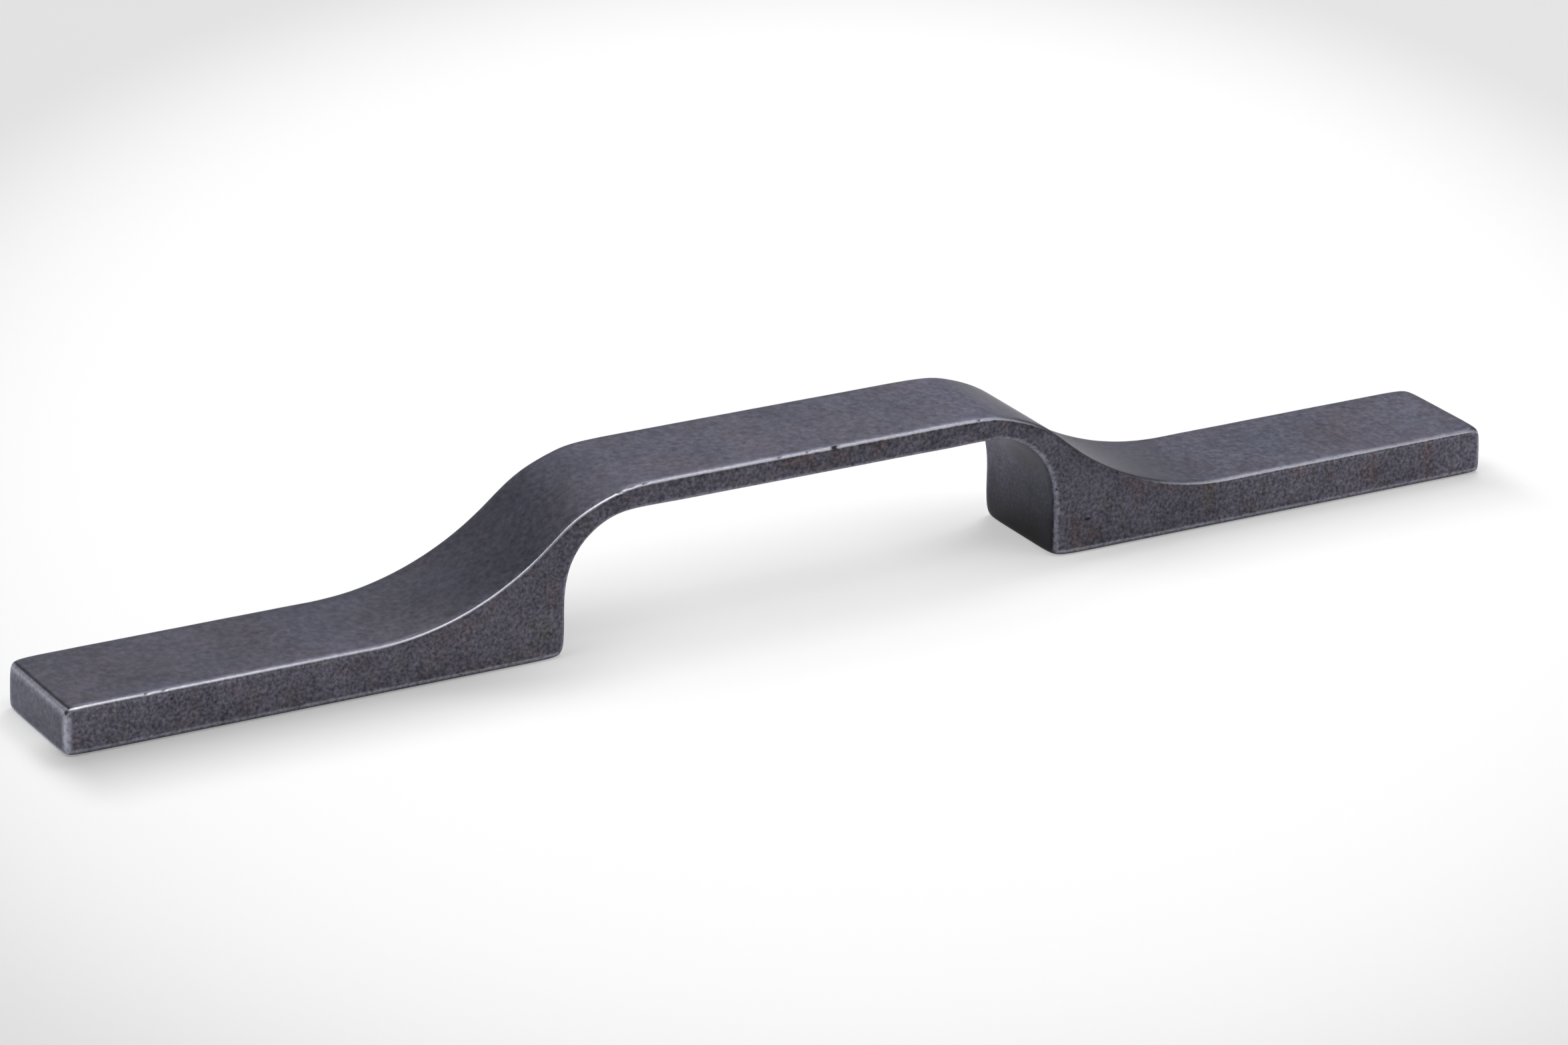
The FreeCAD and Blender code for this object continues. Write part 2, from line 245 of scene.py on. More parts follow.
class StudioLooks(PropertyGroup):
    """The camera, lamps and floor, and the floor's painted light and shade."""

    camera_azimuth: angle("Camera azimuth", "Turn of the camera to the left of square on", 30.1105)
    camera_elevation: angle("Camera elevation", "Height of the camera above the horizon", 21.5422)
    camera_roll: angle("Camera roll", "Tilt of the camera about its own line of sight", 0.9767)
    camera_distance: length("Camera distance", "From the camera to where it aims past", 1157.22)
    aim_height: length("Aim height", "Height of the aim point above the door face", 15)
    aim_right: length("Aim right", "Shift of the aim to the camera's right", 0.339)
    aim_up: length("Aim up", "Shift of the aim to the camera's top", -2.888)
    lens: FloatProperty(name="Lens", description="Focal length", default=147.591, unit="CAMERA")
    floor_reach: length("Floor reach", "Radius of the round floor", 12000)
    wall_height: length("Wall height", "Height of the pale wall round the floor", 1000)
    floor_colour: colour("Floor colour", "The pale floor", (0.93, 0.93, 0.93))
    floor_lift: share("Floor lift", "How far the floor is lifted to white, which thins its shadow", 0.42)
    floor_glow: FloatProperty(name="Floor glow", description="Strength of that lift", default=1.1)
    # A painted pool of light: the floor is darker round a bright oval about the casting.
    pool_width: length("Pool width", "Reach of the bright middle of the floor across the view", 213)
    pool_depth: length("Pool depth", "Reach of the bright middle of the floor along the view", 342)
    pool_shift: length("Pool shift", "How far that middle lies behind the casting", 80)
    pool_aside: length("Pool aside", "How far that middle lies to the camera's right", 8.4)
    painted_pool_dip: share("Pool dip", "How much darker the floor is round that middle", 0.262)
    # A painted shadow on the floor in front of the wings.
    painted_shadow: FloatProperty(name="Contact", description="Shade where the casting lies", default=0.3)
    painted_shadow_reach: length("Contact reach", "Distance over which that shade fades", 26)
    # Painted light: the floor under the grip is lifted further to white.
    painted_opening_light: share("Opening lift", "How much further the floor is lifted in the finger opening", 0.12)
    lamp_level: FloatProperty(name="Lamp level", description="Strength of all lamps together", default=1.0)
    sky: share("Sky", "Brightness of the room around", 0.12)


class Shade:
    """A socket of a material's node tree. Arithmetic on it adds Math nodes."""

    def __init__(self, tree, socket=None):
        self.tree = tree
        self.socket = socket

    def node(self, kind, settings=None, sockets=None, output=0):
        """Adds a node, sets its settings and then its sockets, and wraps one of its outputs."""
        made = self.tree.nodes.new(kind)
        for name, value in (settings or {}).items():
            setattr(made, name, value)
        for name, value in (sockets or {}).items():
            entry = made.inputs[name]
            if isinstance(value, Shade):
                self.tree.links.new(value.socket, entry)
            else:
                entry.default_value = value
        return Shade(self.tree, made.outputs[output] if made.outputs else None)

    def math(self, operation, *values, clamp=False):
        settings = {"operation": operation, "use_clamp": clamp}
        return self.node("ShaderNodeMath", settings, dict(enumerate(values)))

    def __add__(self, other):
        return self.math("ADD", self, other)

    __radd__ = __add__

    def __sub__(self, other):
        return self.math("SUBTRACT", self, other)

    def __rsub__(self, other):
        return self.math("SUBTRACT", other, self)

    def __mul__(self, other):
        return self.math("MULTIPLY", self, other)

    __rmul__ = __mul__

    def __pow__(self, other):
        return self.math("POWER", self, other)

    def clamped(self):
        return self.math("ADD", self, 0.0, clamp=True)

    def absolute(self):
        return self.math("ABSOLUTE", self)

    def principled(self, sockets):
        return self.node("ShaderNodeBsdfPrincipled", {}, sockets)

    def larger(self, other):
        return self.math("MAXIMUM", self, other)

    def dot(self, other):
        return self.node("ShaderNodeVectorMath", {"operation": "DOT_PRODUCT"}, {0: self, 1: other}, "Value")

    def ramp(self, low, high, start=0.0, stop=1.0):
        """Maps low..high to start..stop with soft ends, and holds it there outside."""
        sockets = {"Value": self, "From Min": low, "From Max": high, "To Min": start, "To Max": stop}
        return self.node("ShaderNodeMapRange", {"interpolation_type": "SMOOTHSTEP"}, sockets)

    def within(self, stretch):
        """1 inside a stretch given by four distances in millimetres, 0 outside it."""
        begin, whole, fade, end = (value * MM for value in stretch)
        return self.ramp(begin, whole) * self.ramp(fade, end, 1.0, 0.0)

    def mix(self, first, second):
        """Colours first to second, with this value as the factor."""
        sockets = {"Factor": self, 6: first, 7: second}
        return self.node("ShaderNodeMix", {"data_type": "RGBA"}, sockets, 2)

    def times(self, factor):
        """This colour or vector with each of its parts times the value or vector given."""
        return self.node("ShaderNodeVectorMath", {"operation": "MULTIPLY"}, {0: self, 1: factor})

    def grain(self, scale, detail=2.0, rough=0.5):
        """Noise from 0 to 1 at this place, where scale is in turns to the metre."""
        sockets = {"Vector": self, "Scale": scale, "Detail": detail, "Roughness": rough}
        return self.node("ShaderNodeTexNoise", {}, sockets, "Fac")

    def part(self, axis):
        """One part of this vector: X, Y or Z."""
        return self.node("ShaderNodeSeparateXYZ", {}, {"Vector": self}, axis)

    def recorded(self, name):
        """One of the values that the casting's points carry."""
        return self.node("ShaderNodeAttribute", {"attribute_name": name}, output="Fac")


def rgba(tint):
    """A colour property as the four numbers that a socket takes."""
    return (*tint, 1.0)


class Profile:
    """The casting's side outline. x runs outward from the middle of the grip and z away from the door."""

    def __init__(self, sizes):
        self.sizes = sizes
        self.half_length = FRAME_HIGH.x + sizes.base_end_radius * math.tan(sizes.end_draft)
        self.height = FRAME_HIGH.z
        self.half_width = FRAME_HIGH.y + sizes.base_end_radius * math.tan(sizes.side_draft)
        rise = self.height - sizes.wing_thickness
        bends = sizes.sweep_radius + sizes.crown_radius
        self.turn = math.acos(1 - rise / bends)
        self.sweep_top = sizes.wing_start - sizes.sweep_radius * math.sin(self.turn)
        self.crown_start = self.sweep_top - sizes.crown_radius * math.sin(self.turn)
        self.underside = self.height - sizes.grip_thickness
        self.bend_z = self.underside - sizes.inside_bend_radius
        draft = sizes.foot_draft
        meeting_z = self.bend_z + sizes.inside_bend_radius * math.sin(draft)
        self.bend_x = self.foot_x(meeting_z) - sizes.inside_bend_radius * math.cos(draft)

    def foot_x(self, z):
        return self.sizes.foot_face - z * math.tan(self.sizes.foot_draft)

    def end_x(self, z):
        return self.half_length - z * math.tan(self.sizes.end_draft)

    def side_y(self, z):
        return self.half_width - z * math.tan(self.sizes.side_draft)

    def top_z(self, x):
        """Height of the top at x, which is 0 or more."""
        sizes = self.sizes
        if x >= sizes.wing_start:
            return sizes.wing_thickness
        if x >= self.sweep_top:
            run = sizes.wing_start - x
            return sizes.wing_thickness + sizes.sweep_radius - math.sqrt(sizes.sweep_radius**2 - run**2)
        if x > self.crown_start:
            run = x - self.crown_start
            return self.height - sizes.crown_radius + math.sqrt(sizes.crown_radius**2 - run**2)
        return self.height

    def rails(self):
        """Matched points of the top and the bottom, from the middle out to the end, as two lists.

        Each point is x, z and the radius of the rounding to the long side there."""
        sizes = self.sizes
        screw_x = abs(HOLES[1]["pos_m"][0])
        base_stations = [screw_x - PLUG, screw_x + PLUG]
        while base_stations[-1] < sizes.wing_start:
            base_stations.append(base_stations[-1] + 2 * PLUG)
        wing_join = base_stations[-1]
        end_support = self.half_length - SUPPORT_PER_RADIUS * sizes.base_end_radius
        foot_support = SUPPORT_PER_RADIUS * sizes.base_end_radius

        grip = [(x, self.underside) for x in np.linspace(0, self.bend_x, GRIP_CELLS, endpoint=False)]
        bend = [
            (
                self.bend_x + sizes.inside_bend_radius * math.sin(turn),
                self.bend_z + sizes.inside_bend_radius * math.cos(turn),
            )
            for turn in np.linspace(0, math.pi / 2 - sizes.foot_draft, BEND_CELLS + 1)
        ]
        half_way = (bend[-1][1] + foot_support) / 2
        face = [(self.foot_x(z), z) for z in (half_way, foot_support, 0)]
        base = [(sizes.foot_face + foot_support, 0)] + [(x, 0) for x in base_stations]
        wing = [(x, 0) for x in np.linspace(wing_join, end_support, WING_CELLS + 1)[1:]]
        end = [(self.half_length, 0)]
        inner = sizes.inner_edge_radius
        outer = sizes.base_edge_radius
        bottom = [(x, z, inner) for x, z in grip + bend + face[:-1]]
        bottom.append((*face[-1], (inner + outer) / 2))
        bottom += [(x, z, outer) for x, z in base + wing]
        bottom.append((*end[0], (outer + sizes.end_corner_radius) / 2))

        bends = len(bend) + len(face) + len(base) - 1
        top_x = list(np.linspace(0, self.bend_x, GRIP_CELLS, endpoint=False))
        top_x += list(self.even_steps(self.bend_x, wing_join, bends))
        top_end = self.end_x(sizes.wing_thickness)
        top_support = top_end - SUPPORT_PER_RADIUS * sizes.end_top_radius
        top_x += list(np.linspace(wing_join, top_support, WING_CELLS + 1)[1:])
        top = [(x, self.top_z(x), sizes.top_edge_radius) for x in top_x]
        top.append((top_end, sizes.wing_thickness, (sizes.top_edge_radius + sizes.end_corner_radius) / 2))
        return top, bottom

    def even_steps(self, start, stop, cells):
        """Places from start to stop that lie evenly along the curved top."""
        x = np.linspace(start, stop, 2000)
        z = np.array([self.top_z(value) for value in x])
        run = np.concatenate([[0], np.cumsum(np.hypot(np.diff(x), np.diff(z)))])
        return np.interp(np.linspace(0, run[-1], cells + 1), run, x)


def mirrored(rail):
    """The whole rail from the left end to the right end, from the half on the right."""
    left = [(-x, z, radius) for x, z, radius in reversed(rail[1:])]
    return np.array(left + rail)


def fitted(rail, held):
    """The rail with its points moved so that the subdivided line runs through where they were."""
    system = np.eye(len(rail))
    for index in range(1, len(rail) - 1):
        if index not in held:
            system[index, index - 1 : index + 2] = (1 / 6, 4 / 6, 1 / 6)
    moved = rail.copy()
    moved[:, :2] = np.linalg.solve(system, rail[:, :2])
    return moved


def inset(rail, side):
    """The rail's points moved into the casting by their support distance. side is 1 below and -1 above."""
    run = np.gradient(rail[:, :2], axis=0)
    run /= np.linalg.norm(run, axis=1)[:, None]
    inward = np.stack([-run[:, 1], run[:, 0]], axis=1) * side
    return rail[:, :2] + inward * (SUPPORT_PER_RADIUS * rail[:, 2])[:, None]


class Cage:
    """The coarse grid that the casting is subdivided from: a skin round its outline and two side caps."""

    def __init__(self, sizes):
        self.sizes = sizes
        self.profile = Profile(sizes)
        top, bottom = self.profile.rails()
        last = 2 * len(top) - 2
        middle = len(top) - 1
        corner = GRIP_CELLS + BEND_CELLS + 3
        ends = {1, last - 1}
        feet = {middle + way * (corner + step) for way in (-1, 1) for step in (-1, 0, 1)}
        self.top = fitted(mirrored(top), ends)
        self.bottom = fitted(mirrored(bottom), ends | feet)
        self.last = last
        self.corners = (middle - corner, middle + corner)
        self.vertices = []
        self.faces = []
        self.build()

    def build(self):
        ring = self.ring()
        rows = [[self.add(x, y, z) for y in self.across(z, radius)] for x, z, radius in ring]
        for first, second in zip(rows, rows[1:] + rows[:1]):
            for row in range(len(first) - 1):
                self.faces.append((first[row], second[row], second[row + 1], first[row + 1]))
        self.cap(rows, -1)
        self.cap(rows, 1)
        self.ease(rows)

    def ease(self, rows):
        """Pulls the corners where three edges meet into the casting, so that they round more."""
        last = self.last
        end_ease = self.sizes.end_ease
        foot_ease = self.sizes.foot_ease
        corners = [(0, -1, -1, end_ease), (last, 1, -1, end_ease)]
        corners += [(last + 3, 1, 1, end_ease), (2 * last + 3, -1, 1, end_ease)]
        corners += [(2 * last + 3 - index, -way, 1, foot_ease) for index, way in zip(self.corners, (-1, 1))]
        for row, outward, upward, ease in corners:
            for column, side in ((0, -1), (-1, 1)):
                index = rows[row][column]
                pull = Vector((-outward, -side, upward)) * ease
                self.vertices[index] = tuple(Vector(self.vertices[index]) + pull)

    def add(self, x, y, z):
        self.vertices.append((x, y, z))
        return len(self.vertices) - 1

    def across(self, z, radius):
        side = self.profile.side_y(z)
        support = side - SUPPORT_PER_RADIUS * radius
        return (-side, -support, -PLUG, PLUG, support, side)

    def end_heights(self):
        """Heights of the two points between the corners of each end face, the lower first."""
        sizes = self.sizes
        low = SUPPORT_PER_RADIUS * sizes.base_end_radius
        return low, sizes.wing_thickness - SUPPORT_PER_RADIUS * sizes.end_top_radius

    def ring(self):
        """The outline's points in order: top from left to right, right end, bottom, left end."""
        radius = self.sizes.end_corner_radius
        low, high = self.end_heights()
        right = [(self.profile.end_x(z), z, radius) for z in (high, low)]
        left = [(-x, z, radius) for x, z, radius in reversed(right)]
        return [*self.top, *right, *self.bottom[::-1], *left]

    def cap(self, rows, side):
        """Fills one long side between the bottom and the top."""
        column = 0 if side < 0 else -1
        last = self.last
        below, above = self.insets()
        grid = []
        for index in range(last + 1):
            floor = rows[2 * last + 3 - index][column]
            roof = rows[index][column]
            if index == 0:
                inner = [rows[2 * last + 4][column], rows[2 * last + 5][column]]
            elif index == last:
                inner = [rows[last + 2][column], rows[last + 1][column]]
            else:
                inner = [
                    self.add(x, side * self.profile.side_y(z), z) for x, z in (below[index], above[index])
                ]
            grid.append([floor, *inner, roof])
        for first, second in zip(grid, grid[1:]):
            for row in range(3):
                face = (first[row], second[row], second[row + 1], first[row + 1])
                self.faces.append(face if side < 0 else face[::-1])

    def insets(self):
        """Points of the side caps next to the bottom and to the top."""
        below = inset(self.bottom, 1)
        above = inset(self.top, -1)
        from_end = SUPPORT_PER_RADIUS * self.sizes.end_corner_radius
        for index, way in ((1, -1), (self.last - 1, 1)):
            for line in (below, above):
                line[index, 0] = way * (self.profile.end_x(line[index, 1]) - from_end)
        inner = SUPPORT_PER_RADIUS * self.sizes.inner_edge_radius
        outer = SUPPORT_PER_RADIUS * self.sizes.base_edge_radius
        for corner, way in zip(self.corners, (-1, 1)):
            x = self.sizes.foot_face + inner
            below[corner] = (way * x, outer)
            below[corner - way] = (way * x, outer + 0.8 * inner)
            below[corner + way] = (way * (x + 0.8 * outer), outer)
        return below, above


def added(name, data):
    """A new object in the scene that holds a mesh, a lamp or a camera."""
    holder = bpy.data.objects.new(name, data)
    bpy.context.scene.collection.objects.link(holder)
    return holder


def subdivided(cage, levels):
    """A mesh of the cage's smooth limit surface."""
    mesh = bpy.data.meshes.new("casting_cage")
    mesh.from_pydata(cage.vertices, [], cage.faces)
    holder = added("casting_cage", mesh)
    rounding = holder.modifiers.new("rounding", "SUBSURF")
    rounding.levels = levels
    rounding.render_levels = levels
    rounding.use_limit_surface = True
    dense = bpy.data.meshes.new_from_object(holder.evaluated_get(bpy.context.evaluated_depsgraph_get()))
    bpy.data.objects.remove(holder)
    bpy.data.meshes.remove(mesh)
    return dense


def thread_rings(sizes, minor, depth):
    """Rings of a threaded blind hole from its mouth to its drill point, each as heights and radii."""
    turns = np.arange(HOLE_SIDES) / HOLE_SIDES
    level = np.ones(HOLE_SIDES)
    mouth = sizes.hole_mouth_radius
    rings = [(0 * level, (mouth + 0.06 * MM) * level), (0.03 * MM * level, mouth * level)]
    start = mouth - minor
    rings.append((start * level, minor * level))
    step = sizes.thread_pitch / 8
    rows = int((sizes.thread_depth - start) / step)
    for row in range(1, rows + 1):
        height = start + row * step
        phase = (height / sizes.thread_pitch - turns) % 1
        groove = np.clip(1.35 - 2.7 * np.abs(2 * phase - 1), 0, 1)
        fade = min(1, row / 6, (rows - row) / 6)
        rings.append((height * level, minor + (sizes.thread_major_radius - minor) * groove * fade))
    rings.append((depth * level, minor * level))
    return rings


def sink_hole(shape, hole, sizes):
    """Opens the square of base round a screw hole and sinks the threaded hole into it."""
    x, y = hole["pos_m"][:2]
    minor = hole["dims"]["r_mm"] * MM
    reach = PLUG * 1.01
    inside = [
        face
        for face in shape.faces
        if all(abs(v.co.x - x) < reach and abs(v.co.y - y) < reach and v.co.z < 1e-6 for v in face.verts)
    ]
    if len(inside) != 4**sizes.rounding_levels:
        raise RuntimeError("the base has no whole square of faces round the screw hole")
    whole = {vertex for face in inside for vertex in face.verts}
    rim = {vertex for vertex in whole if any(face not in inside for face in vertex.link_faces)}
    bmesh.ops.delete(shape, geom=inside, context="FACES")
    middle = Vector((x, y, 0))
    rim = sorted(rim, key=lambda vertex: math.atan2(vertex.co.y - y, vertex.co.x - x))
    start = math.atan2(rim[0].co.y - y, rim[0].co.x - x)
    rings = thread_rings(sizes, minor, sizes.hole_depth)
    previous = rim
    for heights, radii in [half_way_ring(rim, middle, rings[0][1])] + rings:
        ring = []
        for index in range(len(rim)):
            turn = start + 2 * math.pi * index / len(rim)
            radius = radii[index]
            place = middle + Vector((radius * math.cos(turn), radius * math.sin(turn), heights[index]))
            ring.append(shape.verts.new(place))
        join_rings(shape, previous, ring)
        previous = ring
    point = shape.verts.new(middle + Vector((0, 0, sizes.hole_depth + minor / math.tan(HALF_DRILL_POINT))))
    for first, second in zip(previous, previous[1:] + previous[:1]):
        shape.faces.new((first, point, second))


def half_way_ring(rim, middle, mouth):
    """A ring between the square rim and the round mouth."""
    reach = np.array([(vertex.co - middle).length for vertex in rim])
    return 0 * reach, (0.45 * reach + 0.55 * mouth)


def join_rings(shape, outer, inner):
    for index in range(len(outer)):
        after = (index + 1) % len(outer)
        shape.faces.new((outer[index], inner[index], inner[after], outer[after]))


def refine(shape):
    """Splits the faces near each mark finely enough to shape it."""
    places = [(Vector(place) * MM, 1.25 * MM * max(reach) + 0.5 * MM) for place, reach, _, _ in MARKS]
    near = []
    for edge in shape.edges:
        middle = (edge.verts[0].co + edge.verts[1].co) / 2
        if any((middle - place).length < reach for place, reach in places):
            near.append(edge)
    bmesh.ops.subdivide_edges(shape, edges=near, cuts=3, use_grid_fill=True)
    many = [face for face in shape.faces if len(face.verts) > 4]
    bmesh.ops.triangulate(shape, faces=many)


def strike(shape, scar):
    """Pushes each mark into the casting and notes how dark it is."""
    shape.normal_update()
    moves = []
    for index, (middle, (along, aside), depth, dark) in enumerate(MARKS):
        place = Vector(middle) * MM
        nearest = min(shape.verts, key=lambda vertex: (vertex.co - place).length_squared)
        inward = -nearest.normal
        across = inward.cross(Vector((1, 0, 0))).normalized()
        for vertex in shape.verts:
            offset = (vertex.co - place) / MM
            if offset.length > 2 * max(along, aside):
                continue
            ragged = noise.noise(offset * 2.6 + Vector((7 * index, 0, 0)))
            distance = math.hypot(offset.x / along, offset.dot(across) / aside) * (1 + 0.45 * ragged)
            amount = max(0.0, 1 - distance * distance) ** 1.5
            moves.append((vertex, inward * (depth * MM * amount)))
            vertex[scar] = max(vertex[scar], dark * min(1.0, 1.6 * amount))
    for vertex, move in moves:
        vertex.co += move


def roughen(shape, sizes):
    """Gives the surface the slow unevenness of a tumbled casting, outside its screw holes."""
    shape.normal_update()
    spread = 1 / sizes.wave_width
    moves = []
    for vertex in shape.verts:
        place = vertex.co
        slow = noise.noise(place * spread)
        quick = noise.noise(place * spread * 3.7 + Vector((3, 5, 7)))
        on_base = place.z < 0.3 * MM or in_hole(place)
        if not on_base:
            moves.append((vertex, vertex.normal * (sizes.wave_height * (0.75 * slow + 0.3 * quick))))
    for vertex, move in moves:
        vertex.co += move


def in_hole(place):
    """Whether a place is in a screw hole or on the square of base round it."""
    if place.z > HOLE_ZONE:
        return False
    middles = [hole["pos_m"] for hole in HOLES]
    return any(math.hypot(place.x - x, place.y - y) < 1.01 * PLUG for x, y, _ in middles)


def eased(value, low, high):
    """0 below low and 1 above high, with soft ends."""
    part = min(1.0, max(0.0, (value - low) / (high - low)))
    return part * part * (3 - 2 * part)


def closeness(value, middle, spread):
    """1 where the value is at the middle, and next to nothing two spreads away."""
    return math.exp(-(((value - middle) / spread) ** 2))


def record_surface(shape, sizes, layers):
    """Writes how far each point is on a rough face, a rubbed edge or a lighter upright or lower edge, and
    where it takes painted highlight lines, painted dark lines or painted shade in the finger opening.
    """
    shape.normal_update()
    for vertex in shape.verts:
        for name, value in surface_values(vertex.co, vertex.normal, sizes).items():
            vertex[layers[name]] = value


def surface_values(place, facing, sizes):
    """What the surface is like at a place, by where it lies and the way it faces."""
    sideways = min(1.0, abs(facing.y))
    endways = min(1.0, abs(facing.x))
    at_end = abs(place.x) > FRAME_HIGH.x - END_WEAR_REACH
    inward = max(-facing.z, -facing.x * math.copysign(1, place.x))
    in_opening = abs(place.x) < sizes.foot_face + 0.5 * MM and inward > 0.3
    flank = eased(sideways, 0.45, 0.9)
    values = {"flank": flank, "coarse": flank}
    if at_end or in_opening:
        values["coarse"] = max(flank, 0.8 * eased(1 - abs(facing.z), 0.1, 0.6))
    # Faces inside the finger opening are marked for painted shade.
    if in_opening:
        values["shelter"] = min(1.0, (inward - 0.3) / 0.6)
    if in_hole(place):
        return values
    bend = 2 * sideways * math.sqrt(1 - sideways * sideways)
    if at_end:
        bend = max(bend, 2 * abs(facing.x * facing.z))
    bend = min(1.0, bend)
    if at_end and endways > sideways:
        return values | end_band_and_shade_line(facing, endways, bend)
    return values | side_wear_and_painted_lines(place, facing, sizes, bend, 0.88 if at_end else 0.42)


def end_band_and_shade_line(facing, endways, bend):
    """The light band round an end face and the painted dark line of shade above it."""
    under_line = eased(endways, 0.45, 0.7) if facing.z > 0 else 1.0
    wear_and_painted_light = {"soft": min(0.92, 1.5 * bend) * under_line}
    # Painted shade: a dark line on the top side of the end's top edge.
    if facing.z > 0.5:
        wear_and_painted_light["line"] = 0.65 * closeness(endways, 0.36, 0.11)
    return wear_and_painted_light


def side_wear_and_painted_lines(place, facing, sizes, bend, dullness):
    """The top edge, rubbed and with part of its highlight painted, the lighter other edges and the thin
    lines of a long side: painted highlight lines and a painted dark line of shade along the base.
    """
    sideways = min(1.0, abs(facing.y))
    upward = min(1.0, max(0.0, facing.z / 0.3))
    wear_and_painted_light = {"edge": bend * bend * upward}
    wear_and_painted_light["soft"] = min(1.0, 1.5 * bend * bend) * (1 - upward) * dullness
    if sideways > 0.7:
        # Painted highlight lines just above the base and under the wings' top edge.
        along_base = 0.62 * closeness(place.z, BASE_LINE_HEIGHT, 0.28 * MM)
        under_top = 0.23 * closeness(place.z, sizes.wing_thickness - TOP_LINE_DROP, 0.3 * MM)
        on_wing = eased(abs(place.x), sizes.wing_start - 8 * MM, sizes.wing_start + 4 * MM)
        wear_and_painted_light["soft"] = max(wear_and_painted_light["soft"], along_base, under_top * on_wing)
    # Painted shade: a dark line where the base's edge faces down to the floor.
    if place.z < 2 * MM and sideways > 0.2:
        wear_and_painted_light["line"] = 0.9 * eased(-facing.z, 0.3, 0.6)
    return wear_and_painted_light


def build_casting(sizes):
    """The whole casting as one closed mesh."""
    dense = subdivided(Cage(sizes), sizes.rounding_levels)
    shape = bmesh.new()
    shape.from_mesh(dense)
    bpy.data.meshes.remove(dense)
    for hole in HOLES:
        sink_hole(shape, hole, sizes)
    refine(shape)
    layers = {name: shape.verts.layers.float.new(name) for name in SURFACE_VALUES}
    record_surface(shape, sizes, layers)
    roughen(shape, sizes)
    strike(shape, layers["scar"])
    if any(not part.is_manifold for part in shape.edges):
        raise RuntimeError("the casting isn't one closed surface")
    for face in shape.faces:
        face.smooth = True
    mesh = bpy.data.meshes.new("handle_casting")
    shape.to_mesh(mesh)
    shape.free()
    return mesh


